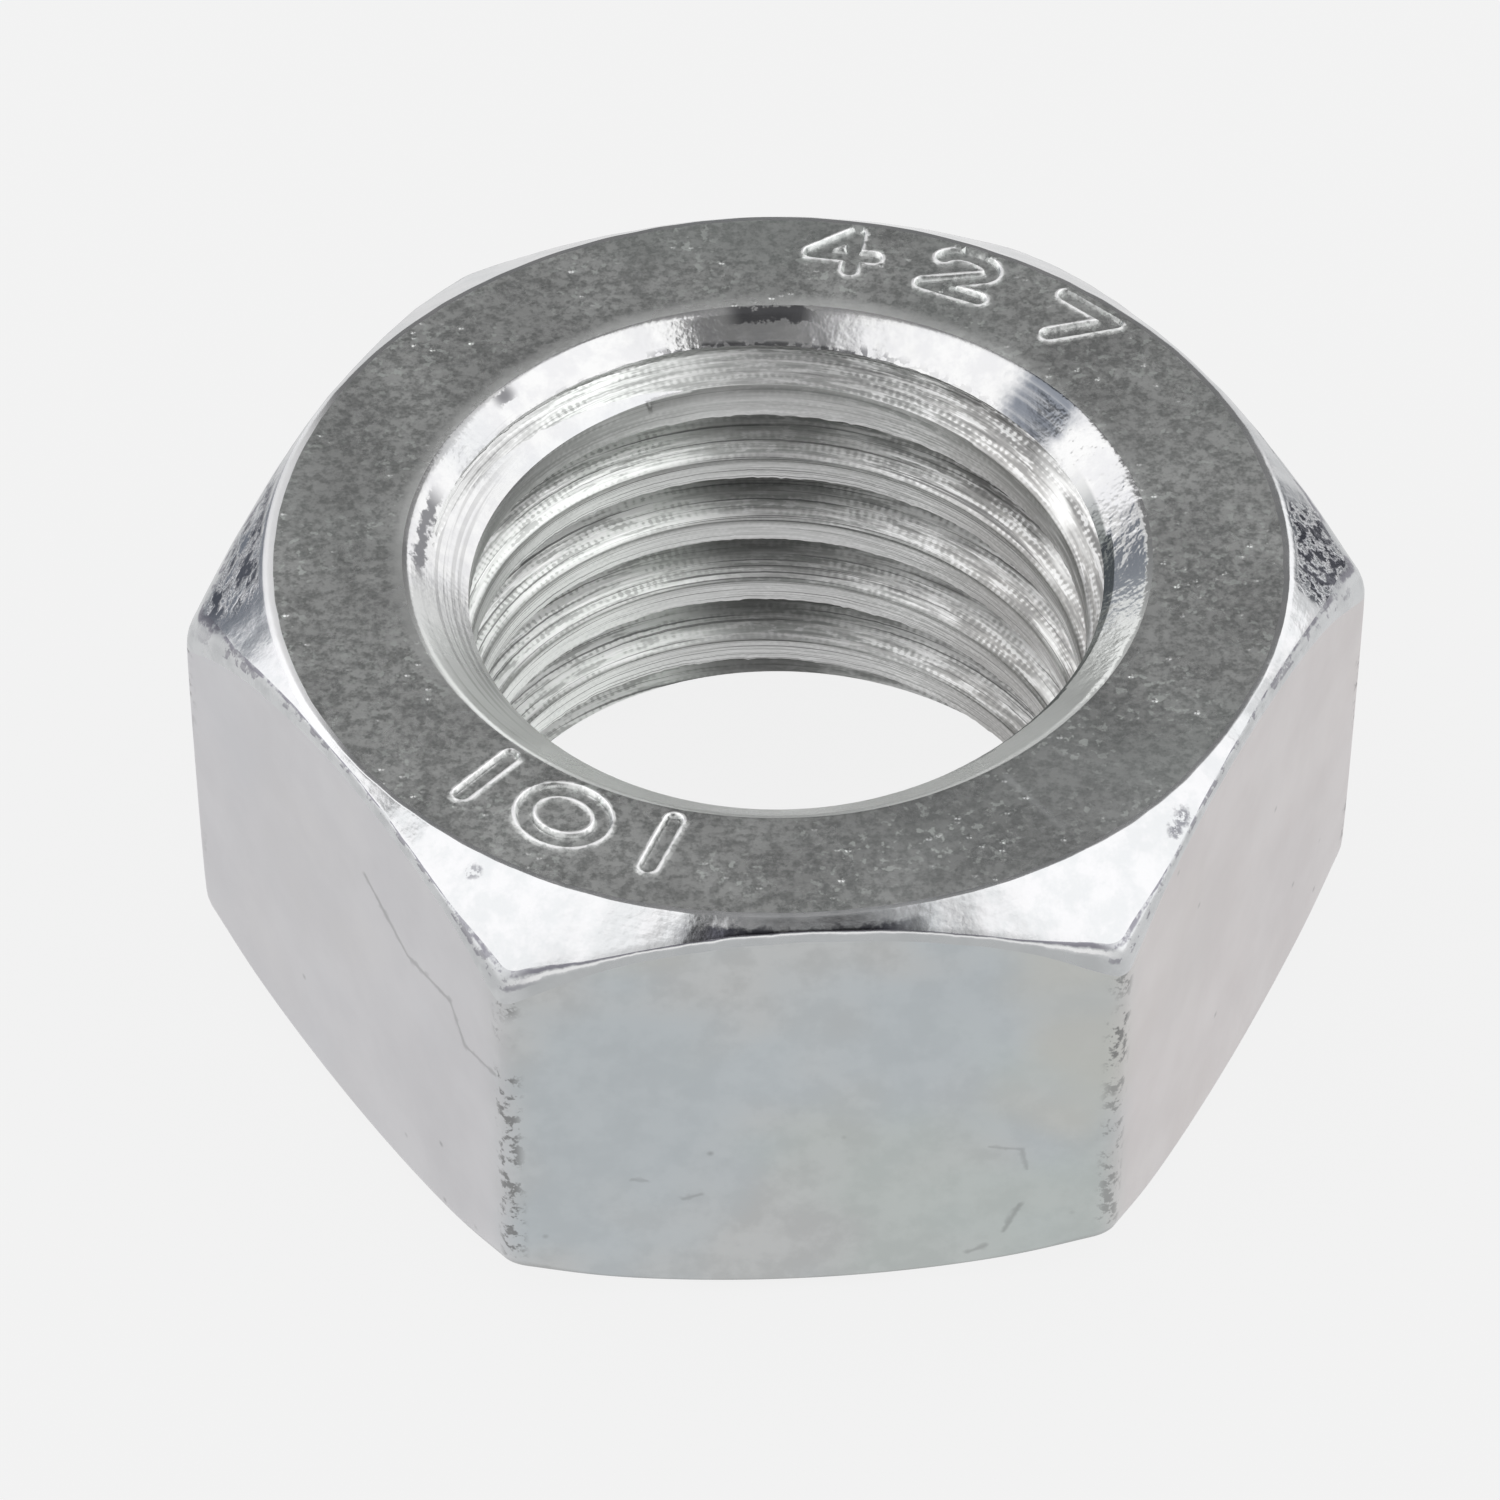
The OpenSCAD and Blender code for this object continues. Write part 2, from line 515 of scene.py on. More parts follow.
def bore_column(bearing, rows):
    """One column of the threaded wall: its heights, radii, places across the thread and length along it.

    Also says which of its points lie on a countersink and which one is the upper lip."""
    height, turn_number, across = rows
    level = turn_number * PITCH + across
    climbed = (bearing - pi / 2) / (tau)
    length = (turn_number + climbed) * tau * CREST_R
    extra = FIRST_TURN_EXTRA * np.exp(-((length / FIRST_TURN_REACH) ** 2))
    shifted = extra * np.interp(across, (0, 0.63, LAND, LAND + FLANK, PITCH - FLANK), (0, 0.2, 1, 0.4, 0))
    wave = 0.022 * ripple(length, 6.0, 31, octaves=4) * np.exp(-((across / 0.5) ** 2))
    z = height + climbed * PITCH + wave + shifted
    burr = np.maximum(ripple(length, 2.2, 33), 0) * np.exp(-((across / 0.07) ** 2))
    flank = smooth(LAND, LAND + 0.3, across) * (1 - smooth(2.1, 2.3, across))
    tearing = 0.012 * ripple(length + 40 * across, 3.0, 34) * flank
    wall = thread_radius(across + shifted, extra) - 0.03 * burr + tearing
    lip = 0.04 * np.maximum(ripple(length, 1.1, 35, octaves=1.5), 0)
    before = np.array((z, wall, level))
    crossings = []
    for face_height, inward in ((FOOT, 1), (TOP, -1)):
        cone = cone_radius(z, bearing, face_height, inward)
        gap = cone - wall
        for i in np.nonzero((gap[1:] > 0) != (gap[:-1] > 0))[0]:
            share = gap[i] / (gap[i] - gap[i + 1])
            nearest = i if share < 0.5 else i + 1
            for values, old in zip((z, wall, level), before):
                values[nearest] = old[i] + (old[i + 1] - old[i]) * share
            crossings.append(nearest)
    cone = np.maximum(cone_radius(z, bearing, TOP, -1), cone_radius(z, bearing, FOOT, 1))
    radius = np.maximum(wall, cone)
    high = max(crossings)
    radius[high] -= lip[high] * (0.1 + 0.9 * near(bearing, 82, 32))
    on_cone = cone > wall
    on_cone[crossings] = True
    return z, radius, level, length, on_cone, high


def build_bore(skin, top_rim, foot_rim, turn, z_high, z_low):
    """The threaded wall between the two rims: rows of points that climb along the helix."""
    rows = helix_rows()
    turn_number = rows[1]
    index, on_cone, level, along = (
        np.zeros((len(turn_number), BORE_COLUMNS), dtype=kind) for kind in (int, bool, float, float))
    margin = 0.01
    for j, bearing in enumerate(turn):
        z, radius, level[:, j], along[:, j], on_cone[:, j], lip = bore_column(bearing, rows)
        x = radius * cos(bearing) + BORE_SHIFT.x
        y = radius * sin(bearing) + BORE_SHIFT.y
        for i in range(len(turn_number)):
            if z[i] > z_high[j] - margin:
                index[i, j] = top_rim[j]
            elif z[i] < z_low[j] + margin:
                index[i, j] = foot_rim[j]
            else:
                index[i, j] = skin.add([(x[i], y[i], z[i])])[0]
                if i in (lip, lip + 1):
                    skin.worn[index[i, j]] = 1.0 if i == lip else 0.5
    last = len(turn_number) - 1
    step = tau * CREST_R / BORE_COLUMNS
    for j in range(BORE_COLUMNS):
        k = (j + 1) % BORE_COLUMNS
        wrapped = int(k == 0)  # the first column's rows are one turn further along the helix
        for i in range(last):
            below, above = (min(row + wrapped * len(ACROSS), last) for row in (i, i + 1))
            corners = (index[i, j], index[i + 1, j], index[above, k], index[below, k])
            start = turn_number[i] * PITCH
            start_next = start + wrapped * PITCH
            here, there = along[i, j], along[i, j] + step
            strip = ((here, level[i, j] - start), (here, level[i + 1, j] - start),
                     (there, level[above, k] - start_next), (there, level[below, k] - start_next))
            cone = (on_cone[i, j], on_cone[i + 1, j], on_cone[above, k], on_cone[below, k])
            if sum(cone) == 3:  # the lip runs across this one, so it is split there
                wall = cone.index(False)
                for picks, zone in (((3, 0, 1), THREAD), ((1, 2, 3), COUNTERSINK)):
                    picks = [(wall + n) % 4 for n in picks]
                    skin.face([corners[n] for n in picks], zone, [strip[n] for n in picks])
            else:
                skin.face(corners, COUNTERSINK if all(cone) else THREAD, strip)


def build_nut():
    """The dressed nut, one closed mesh without its materials."""
    skin = Skin()
    outer_turn, outer_top, outer_foot = build_outside(skin)
    turn, top_rolled, top_inner = rim_profile(TOP, -1)
    _, foot_rolled, foot_inner = rim_profile(FOOT, 1)
    shift = BORE_SHIFT[:2]
    top_ids = [skin.add(wavy(turn, r, z, 0.3, shift)) for r, z in top_rolled + top_inner]
    foot_ids = [skin.add(polar(turn, r, z, shift)) for r, z in foot_rolled + foot_inner]
    rolled_count = len(top_rolled)
    for k in range(1, len(top_ids)):
        zone = FACE if k <= rolled_count else COUNTERSINK
        skin.band(top_ids[k], top_ids[k - 1], zone)
        skin.band(foot_ids[k - 1], foot_ids[k], zone)
    build_top_face(skin, outer_top, top_ids[0], turn)

    middle = skin.add(polar(outer_turn, 15.2, FOOT))
    skin.band(outer_foot, middle, FACE)
    start = int(np.argmin(np.abs(outer_turn - 1.5 * pi)))
    rolled_turn = np.concatenate((outer_turn[start:] - tau, outer_turn[:start]))
    rolled = middle[start:] + middle[:start]
    skin.seam(rolled, rolled_turn, foot_ids[0], turn, FACE)
    build_bore(skin, top_ids[-1], foot_ids[-1], turn, top_inner[-1][1], foot_inner[-1][1])

    mesh = bpy.data.meshes.new("nut")
    mesh.from_pydata([(x * MM, y * MM, z * MM) for x, y, z in skin.points], [], skin.faces)
    strip_map = mesh.uv_layers.new(name="thread_strip")
    values = np.zeros((len(mesh.loops), 2))
    for face, corners in skin.strip.items():
        begin = mesh.polygons[face].loop_start
        values[begin:begin + len(corners)] = corners
    strip_map.data.foreach_set("uv", values.ravel())
    # worn marks the ridges round the marks and the thread's lip, where the materials lay painted highlights,
    # a painted glint, a painted shadow and burr dots
    worn = mesh.attributes.new("worn", "FLOAT", "POINT")
    worn.data.foreach_set("value", [skin.worn.get(k, 0.0) for k in range(len(skin.points))])
    mesh.polygons.foreach_set("material_index", skin.zones)
    mesh.polygons.foreach_set("use_smooth", [True] * len(skin.faces))
    mesh.validate()
    mesh.set_sharp_from_angle(angle=radians(38))
    nut = add_object("nut", mesh)
    even = nut.modifiers.new("even_shading", "WEIGHTED_NORMAL")
    even.keep_sharp = True
    return nut


# ---- materials
BLUE, GREEN, CREAM = (0.48, 0.54, 0.58), (0.48, 0.55, 0.52), (0.58, 0.56, 0.50)
# lighter tints for the side flats: painted light
LAVENDER_PAINTED_LIGHT, ROSE_PAINTED_LIGHT = (0.64, 0.63, 0.65), (0.67, 0.63, 0.63)
TOOL_MARK_STEP = 0.27  # from one small tool mark to the next, along the helix
TOOL_MARK_ROW = 0.42  # and from one row of them to the next
# centre of a small dent on the chamfer, its size in millimetres and how dark it is
DINGS = (
    ((-10.85, -14.05, 17.34), 0.32, 0.6),
    ((12.4, -13.0, 17.17), 0.50, 0.8),
    ((12.2, -13.4, 17.08), 0.40, 0.8),
)
# scratches on the flats: a line of points in millimetres, its width and how dark it is
SCRATCHES = (
    (((-14.41, -10.22, 13.4), (-13.12, -12.46, 11.8), (-11.78, -14.77, 12.0)), 0.20, 0.55),
    (((-11.78, -14.77, 12.0), (-11.35, -15.51, 10.6), (-10.42, -17.13, 10.9)), 0.16, 0.5),
    (((5.9, -17.6, 6.7), (7.0, -17.6, 6.5), (7.2, -17.6, 5.5)), 0.12, 0.35),
    (((7.0, -17.6, 3.7), (6.5, -17.6, 2.4)), 0.16, 0.5),
    (((5.9, -17.6, 1.7), (5.3, -17.6, 1.4)), 0.16, 0.45),
    (((-4.3, -17.6, 4.8), (-3.7, -17.6, 5.0)), 0.16, 0.4),
    (((-6.0, -17.6, 5.9), (-5.5, -17.6, 5.8)), 0.14, 0.35),
)


def rgb(r, g, b):
    return (r, g, b, 1.0)


def grey(level):
    return (level,) * 3


class Wiring:
    """Short names for the nodes of one tree. A share is 1 where something shows fully."""

    def __init__(self, tree):
        self.tree = tree

    def node(self, kind, inputs=(), **settings):
        """A new node; inputs maps its sockets, by name or number, to values or to other sockets."""
        made = self.tree.nodes.new(kind)
        for key, value in settings.items():
            setattr(made, key, value)
        for key, value in dict(inputs).items():
            self.link(value, made.inputs[key])
        return made

    def link(self, value, socket):
        if isinstance(value, bpy.types.NodeSocket):
            self.tree.links.new(value, socket)
        else:
            socket.default_value = value

    def math(self, operation, *values):
        return self.node("ShaderNodeMath", enumerate(values), operation=operation).outputs[0]

    def times(self, product, *factors):
        for factor in factors:
            product = self.math("MULTIPLY", product, factor)
        return product

    def most(self, largest, *others):
        for other in others:
            largest = self.math("MAXIMUM", largest, other)
        return largest

    def split(self, vector):
        return self.node("ShaderNodeSeparateXYZ", {0: vector}).outputs

    def join(self, x, y, z):
        return self.node("ShaderNodeCombineXYZ", {0: x, 1: y, 2: z}).outputs[0]

    def vector(self, operation, *values, output="Vector", **named):
        inputs = {**dict(enumerate(values)), **named}
        return self.node("ShaderNodeVectorMath", inputs, operation=operation).outputs[output]

    def ramp(self, value, low, high, out_low=0.0, out_high=1.0):
        """A soft step from out_low, where the value is low, to out_high, where it is high."""
        inputs = {"Value": value, "From Min": low, "From Max": high, "To Min": out_low, "To Max": out_high}
        return self.node("ShaderNodeMapRange", inputs, interpolation_type="SMOOTHSTEP").outputs["Result"]

    def ramp_mm(self, value, low, high, out_low=0.0, out_high=1.0):
        """A ramp between two lengths given in millimetres."""
        return self.ramp(value, low * MM, high * MM, out_low, out_high)

    def blend(self, share, a, b):
        inputs = {"Factor": share, "A": a, "B": b}
        return self.node("ShaderNodeMix", inputs, data_type="RGBA").outputs["Result"]

    def light_path(self):
        """1 for the rays that show the background: camera, glossy and transmission rays."""
        path = self.node("ShaderNodeLightPath")
        return self.most(*(path.outputs[f"Is {kind} Ray"] for kind in ("Camera", "Glossy", "Transmission")))


class Finish(Wiring):
    """A material in the making: its colour, roughness and normal so far."""

    def __init__(self, name):
        self.material = bpy.data.materials.new(name)
        self.material.use_nodes = True
        super().__init__(self.material.node_tree)
        self.shader = self.tree.nodes["Principled BSDF"]
        self.place = self.node("ShaderNodeTexCoord").outputs["Object"]
        self.x, self.y, self.z = self.split(self.place)
        self.colour, self.roughness, self.normal = None, None, None

    def noise(self, scale, detail=3.0, roughness=0.55, at=None):
        """Noise about 0.5; scale counts swings a metre."""
        place = self.place if at is None else at
        inputs = {"Vector": place, "Scale": scale, "Detail": detail, "Roughness": roughness}
        return self.node("ShaderNodeTexNoise", inputs).outputs["Fac"]

    def ragged(self, value, spread, scale, detail=4.0, roughness=0.7):
        """A value that noise moves up or down, by spread at most."""
        moved = self.math("MULTIPLY_ADD", self.noise(scale, detail, roughness), 2 * spread, -spread)
        return self.math("ADD", value, moved)

    def aside(self, middle=0.0):
        """Distance to either side of a place on the X axis, given in millimetres."""
        return self.math("ABSOLUTE", self.math("SUBTRACT", self.x, middle * MM))

    def paint(self, colour, *shares):
        """Lays a colour over the finish so far, in the product of the shares."""
        self.colour = self.blend(self.times(*shares), self.colour, rgb(*colour))

    def emboss(self, height, depth):
        """Raises the surface by depth, in millimetres, where height is 1."""
        inputs = {"Strength": 1.0, "Distance": depth * MM, "Height": height}
        if self.normal is not None:
            inputs["Normal"] = self.normal
        self.normal = self.node("ShaderNodeBump", inputs).outputs["Normal"]

    def roughen(self, share, amount):
        self.roughness = self.math("ADD", self.roughness, self.times(share, amount))

    def less_metallic(self, share, amount):
        """Painted highlights are made to scatter more light than they mirror."""
        self.link(self.math("MULTIPLY_ADD", share, -amount, 1.0), self.shader.inputs["Metallic"])

    def finish(self):
        """Joins the finish to the shader and returns the material."""
        self.link(self.colour, self.shader.inputs["Base Color"])
        self.link(self.roughness, self.shader.inputs["Roughness"])
        self.link(self.normal, self.shader.inputs["Normal"])
        return self.material

    def show(self, surface):
        """Puts another shader in the place of the Principled one and returns the material."""
        self.tree.nodes.remove(self.shader)
        self.link(surface.outputs[0], self.tree.nodes["Material Output"].inputs["Surface"])
        return self.material


def upward(w):
    """How far the surface faces up: 1 where it is level, 0 where it is upright, -1 where it faces down."""
    return w.split(w.node("ShaderNodeNewGeometry").outputs["Normal"])[2]


def ridge_and_lip_mask(w):
    """1 on the raised ridges round the marks and on the thread's upper lip, where painted highlights, a
    painted glint, a painted shadow and burr dots are laid.
    """
    return w.node("ShaderNodeAttribute", attribute_name="worn").outputs["Fac"]


def radius_at(w, centre=Vector((0, 0, 0))):
    """Distance from an upright axis through a point given in millimetres."""
    x, y, _ = w.split(w.vector("SUBTRACT", w.place, centre * MM))
    return w.math("SQRT", w.math("ADD", w.times(x, x), w.times(y, y)))


def turned_lines(w, scale):
    """Fine lines round the axis, as a turning tool leaves them."""
    return w.noise(scale, 2.0, at=w.join(radius_at(w), w.z, w.times(w.x, 0.03)))


def window(w, value, low, high, soft):
    """1 between two limits and 0 beyond them, all in millimetres."""
    return w.times(w.ramp_mm(value, low - soft, low), w.ramp_mm(value, high + soft, high))


def patch(w, centre, inner, outer, ragged=0.0):
    """1 within inner of a point and 0 beyond outer, all in millimetres."""
    distance = w.vector("DISTANCE", w.place, Vector(centre) * MM, output="Value")
    if ragged:
        distance = w.ragged(distance, ragged * MM, 1300)
    return w.ramp_mm(distance, outer, inner)


def dots(w, scale, size, share):
    """Small round spots, one in share of the cells that lie 1 / scale metres apart."""
    cells = w.node("ShaderNodeTexVoronoi", {"Vector": w.place, "Scale": scale})
    chosen = w.ramp(w.split(cells.outputs["Color"])[0], 1 - share, 1 - share + 0.05)
    return w.times(w.ramp(cells.outputs["Distance"], size, 0.0), chosen)


def line_mark(w, start, end, width):
    """1 on a straight scratch between two points given in millimetres, 0 away from it."""
    start, end = Vector(start) * MM, Vector(end) * MM
    way = (end - start).normalized()
    from_start = w.vector("SUBTRACT", w.place, start)
    along = w.vector("DOT_PRODUCT", from_start, way, output="Value")
    along = w.math("MINIMUM", w.math("MAXIMUM", along, 0.0), (end - start).length)
    foot = w.vector("SCALE", way, Scale=along)
    distance = w.vector("LENGTH", w.vector("SUBTRACT", from_start, foot), output="Value")
    uneven = w.times(distance, w.ramp(w.noise(2500, 1.0), 0.3, 0.7, 0.6, 1.6))
    return w.ramp_mm(uneven, width, 0.0)


def burr_dots(w):
    """Dark dots along the lip where the countersink cuts the thread, most of them at the back."""
    broken = w.ramp(w.noise(3800, 1.0), 0.46, 0.54)
    seen = w.times(w.ramp_mm(w.aside(0.6), 5, 3, 0.16, 0.8), w.ramp_mm(w.y, 3.5, 6))
    return w.times(w.ramp(ridge_and_lip_mask(w), 0.7, 0.9), broken, seen)


def lip_shadow(w):
    """A dark line along the thread's upper lip, on the right."""
    side = w.times(w.ramp_mm(w.x, 4, 8), w.ramp_mm(w.y, 5, 1), 0.9)
    return w.times(w.ramp(ridge_and_lip_mask(w), 0.20, 0.50), side)


def zinc(name, dark, light, rough, mottle, grains, tints=(), lines=0.0):
    """Bright zinc plating: mottled metal with a fine grain and the film's faint colours.

    mottle and the scales of grains and tints count swings a metre. Depths are in millimetres."""
    w = Finish(name)
    w.colour = w.blend(w.ramp(w.noise(mottle, 4.0, 0.65), 0.38, 0.62), rgb(*dark), rgb(*light))
    for k, (tint, scale, low, high, share) in enumerate(tints):
        moved = w.vector("ADD", w.place, (0.037 * (k + 1), 0.011 * (k + 2), 0.023 * k))
        w.paint(tint, w.ramp(w.noise(scale, 2.0, at=moved), low, high), share)
    for scale, depth in grains:
        w.emboss(w.noise(scale, 2.0, 0.5), depth)
    if lines:
        w.emboss(turned_lines(w, 9000), lines)
    w.shader.inputs["Metallic"].default_value = 1.0
    w.roughness = w.ramp(w.noise(260), 0.3, 0.7, rough - 0.06, rough + 0.06)
    return w


def face_zinc():
    """The faces: dull and mottled, with bright specks in clusters, one scratch and a painted highlight on the
    ridges round the marks.
    """
    w = zinc("zinc_face", (0.39, 0.40, 0.395), (0.74, 0.75, 0.74), rough=0.30, mottle=2900,
             grains=((4200, 0.010), (1100, 0.012)), tints=((GREEN, 90, 0.5, 0.7, 0.3),))
    grain = w.ramp(w.noise(7500, 2.0, 0.6), 0.40, 0.60)
    w.paint((0.78, 0.79, 0.78), grain, 0.30)
    w.paint(grey(0.30), w.ramp(w.noise(150), 0.35, 0.65, 0.25, 0))
    w.paint((0.36, 0.37, 0.37), patch(w, (7, -13, TOP), 3, 9), 0.45)
    clusters = w.ramp(w.noise(330, 2.0), 0.38, 0.62)
    pale = w.times(w.ramp(w.noise(3000, 2.0), 0.56, 0.66), clusters)
    w.paint((0.92, 0.96, 0.93), pale, 0.7)
    w.emboss(w.times(dots(w, 3000, 0.42, 0.16), clusters), 0.035)
    rolled = w.times(w.ramp_mm(radius_at(w), 13.3, 12.9), w.ramp_mm(w.y, -9, -3))
    w.paint((0.80, 0.81, 0.80), rolled, w.ramp_mm(w.x, 11, 4, 0.2, 0.8))
    scratch = line_mark(w, (6.75, -11.2, TOP), (8.3, -13.6, TOP), 0.24)
    w.paint((0.80, 0.82, 0.82), scratch, 0.45)
    # painted highlight: the raised ridges round the marks are painted near white and made rougher
    uneven = w.times(ridge_and_lip_mask(w), w.ramp(w.noise(2200, 2.0), 0.3, 0.6, 0.5, 1.1))
    painted_highlight = w.ramp(uneven, 0.35, 0.8)
    w.paint(grey(0.95), painted_highlight)
    w.roughen(painted_highlight, 0.2)
    return w.finish()


def chamfer_zinc():
    """The chamfers: bright, hammered at the side corners and bruised in the middle of the front.

    A strip beside the ring on the left, and a fainter one at the front, are painted near white as a painted
    highlight."""
    w = zinc("zinc_chamfer", (0.61, 0.62, 0.63), (0.67, 0.67, 0.68), rough=0.18, mottle=900,
             grains=((1500, 0.012), (4200, 0.005)), tints=((BLUE, 120, 0.55, 0.75, 0.25),), lines=0.002)
    radius = radius_at(w)
    across_streaks = w.math("MULTIPLY_ADD", w.x, 0.82, w.times(w.y, -0.57))
    along_streaks = w.math("MULTIPLY_ADD", w.x, 0.17, w.times(w.y, 0.25))
    streaks = w.noise(2600, 4.0, 0.65, at=w.join(across_streaks, along_streaks, w.z))
    left_corner = w.times(patch(w, (-18.3, 2.2, 16.7), 2.2, 3.8), w.ramp(streaks, 0.40, 0.60), 0.8)
    pitted = w.ramp(w.noise(2700, 3.0, 0.6), 0.40, 0.54)
    right_corner = w.times(patch(w, (18.5, -0.5, 16.8), 1.9, 2.7), pitted)
    beyond_ring = w.ramp_mm(radius, TOP_RING_R + 0.28, TOP_RING_R + 0.42)
    hammered = w.times(w.most(left_corner, right_corner), beyond_ring)
    front = w.ramp_mm(w.y, -15, -16)
    low = w.ramp_mm(w.ragged(w.z, 0.3 * MM, 1700), TOP - 0.20, TOP - 0.34)
    bruised = w.times(low, w.ramp_mm(w.aside(-0.5), 4.4, 2.6), front)
    dark = w.most(w.times(hammered, 0.95), bruised)
    for centre, size, share in DINGS:
        rough_floor = w.ramp(w.noise(3600, 3.0, 0.7), 0.40, 0.54)
        dark = w.most(dark, w.times(patch(w, centre, 0.3 * size, size, 1.2 * size), rough_floor, share))
    w.paint((0.09, 0.09, 0.115), dark, 0.92)
    w.emboss(hammered, -0.02)
    # painted highlight: a strip beside the ring on the left and a faint cloudy one at the front are painted
    # near white, rougher and less metallic
    left = w.times(w.ramp_mm(w.z, 16, 17), w.ramp_mm(w.x, -14.5, -16))
    cloudy = w.ramp(w.noise(1100, 3.0, 0.6), 0.35, 0.60, 0.4, 1.0)
    faint = w.times(front, w.ramp_mm(w.aside(-0.5), 5, 3, 0, 0.22), cloudy)
    painted_sheen = w.times(w.ramp_mm(radius, TOP_RING_R + 0.24, TOP_RING_R + 0.16), w.most(left, faint))
    w.paint((0.96, 0.96, 0.97), painted_sheen)
    w.roughen(painted_sheen, 0.2)
    w.less_metallic(painted_sheen, 0.45)
    return w.finish()


def edge_zinc():
    """The edge between chamfer and flat: a thin dark line above a bright band."""
    w = zinc("zinc_edge", (0.54, 0.55, 0.56), (0.62, 0.63, 0.64), rough=0.26, mottle=900,
             grains=((1800, 0.010),))
    slope = w.ragged(upward(w), 0.15, 1500, 3.0, 0.6)
    front = w.times(w.ramp_mm(w.aside(), 10.2, 9.0), w.ramp_mm(w.y, -14, -15))
    patchy = w.ramp(w.noise(900, 4.0, 0.7), 0.44, 0.56)
    line = w.times(w.ramp(slope, 0.60, 0.68), w.ramp(slope, 0.80, 0.74), w.most(front, patchy), 0.75)
    sides = w.times(w.ramp_mm(w.aside(), 8.5, 10), w.ramp_mm(w.y, 0.5, -2.5))
    bruises = w.times(w.ramp(w.noise(1500, 4.0, 0.7), 0.50, 0.58), sides, 0.6)
    bruises = w.times(bruises, w.ramp(slope, 0.28, 0.36), w.ramp(slope, 0.82, 0.76))
    w.paint((0.44, 0.455, 0.46), w.ramp(slope, 0.44, 0.30, 0, 0.7), front)
    w.paint((0.15, 0.14, 0.18), w.most(line, bruises))
    bright = w.times(w.ramp(slope, 0.40, 0.48), w.ramp(slope, 0.62, 0.55))
    w.paint(grey(0.95), bright, w.math("MULTIPLY_ADD", front, 0.7, 0.1))
    return w.finish()


def flat_zinc():
    """The wrench flats: smooth, with the film's colours, small dark pits and bruised upright edges; the side
    flats are painted lighter and the rounding that faces down at the foot has a painted shadow.
    """
    w = zinc("zinc_flat", (0.49, 0.50, 0.50), (0.55, 0.56, 0.56), rough=0.36, mottle=700,
             grains=((1800, 0.006), (420, 0.012)),
             tints=((BLUE, 110, 0.45, 0.65, 0.5), (GREEN, 80, 0.5, 0.65, 0.4), (CREAM, 90, 0.52, 0.68, 0.5)))
    # painted light: the side flats are painted lighter, lavender on the left and rose on the right
    w.paint(LAVENDER_PAINTED_LIGHT, w.ramp_mm(w.x, -9.5, -11, 0, 0.85))
    w.paint(ROSE_PAINTED_LIGHT, w.ramp_mm(w.x, 9.5, 11, 0, 0.85))
    edges = w.ramp_mm(radius_at(w), HALF_FLATS / cos(pi / 6) - 0.36, 20.2)
    bruises = w.ramp(w.noise(2200, 3.0, 0.7), 0.50, 0.60)
    stretches = w.ramp(w.noise(320, 1.0), 0.46, 0.60)
    front = w.times(window(w, w.z, 2.6, 11.0, 0.8), w.ramp_mm(w.y, -14, -16), w.ramp_mm(w.x, -8, 8, 1.0, 0.7))
    wear_and_shadow = w.times(edges, bruises, w.most(stretches, front))
    wear_and_shadow = w.most(wear_and_shadow, w.times(dots(w, 900, 0.16, 0.12), 0.6))
    for points, width, share in SCRATCHES:
        for start, end in zip(points[:-1], points[1:]):
            wear_and_shadow = w.most(wear_and_shadow, w.times(line_mark(w, start, end, width), share))
    # painted shadow: the rounding that faces down towards the floor is darkened along with the wear
    wear_and_shadow = w.most(wear_and_shadow, w.ramp(upward(w), -0.15, -0.45, 0, 0.5))
    w.paint(grey(0.18), wear_and_shadow, 0.8)
    w.emboss(wear_and_shadow, -0.012)
    return w.finish()


def countersink_zinc():
    """The countersinks: bright, with a painted sheen at the front, and wrinkled on the right.

    They also have a painted dark reflection at the back right, burr dots along the lip and a few dark stains."""
    w = zinc("zinc_countersink", (0.61, 0.61, 0.62), grey(0.67), rough=0.18, mottle=900,
             grains=((2600, 0.006), (5200, 0.003)), tints=((BLUE, 120, 0.55, 0.75, 0.25),), lines=0.003)
    # painted sheen: the near half of the countersinks is painted near white and made less metallic
    painted_sheen = w.ramp_mm(w.y, 1, -6)
    w.paint((0.94, 0.96, 0.94), painted_sheen)
    w.less_metallic(painted_sheen, 0.38)
    w.emboss(w.times(w.noise(900, 3.0, 0.6), w.ramp_mm(w.x, 9, 11)), 0.08)
    # painted dark reflection: a patch at the back right, streaked by the turned lines
    lined = w.ramp(turned_lines(w, 2600), 0.60, 0.45, 0.6, 0.95)
    w.paint((0.16, 0.175, 0.205), patch(w, (9.75, 7.3, 17.1), 0.9, 2.0, 0.6), lined)
    radius = radius_at(w, BORE_SHIFT)
    run_out = w.times(w.ramp(turned_lines(w, 5200), 0.47, 0.38), w.ramp_mm(w.x, -8, -10.5))
    w.paint(grey(0.30), run_out, w.ramp_mm(radius, 12.2, 11.9), 0.40)
    radius = w.ragged(radius, 0.45 * MM, 1800)
    strip = w.times(window(w, radius, 12.08, 12.30, 0.14), patch(w, (-12.0, 2.0, TOP), 1.4, 2.6))
    stain = w.times(window(w, radius, 12.42, 12.78, 0.08), patch(w, (0.6, 12.4, TOP), 1.0, 1.9))
    blob = w.times(window(w, radius, 12.40, 12.70, 0.10), patch(w, (-8.9, 8.5, TOP), 0.2, 0.7))
    w.paint((0.14, 0.14, 0.15), w.most(strip, stain, blob), 0.9)
    w.paint((0.12, 0.12, 0.13), burr_dots(w))
    w.paint((0.15, 0.165, 0.16), lip_shadow(w))
    return w.finish()


def strand(w, length, width, layer):
    """Noise drawn out along the helix; the length and width of its swings are in millimetres."""
    place = w.join(w.math("DIVIDE", w.along, length), w.math("DIVIDE", w.across, width), layer)
    return w.noise(1.0, 2.0, 0.6, at=place)


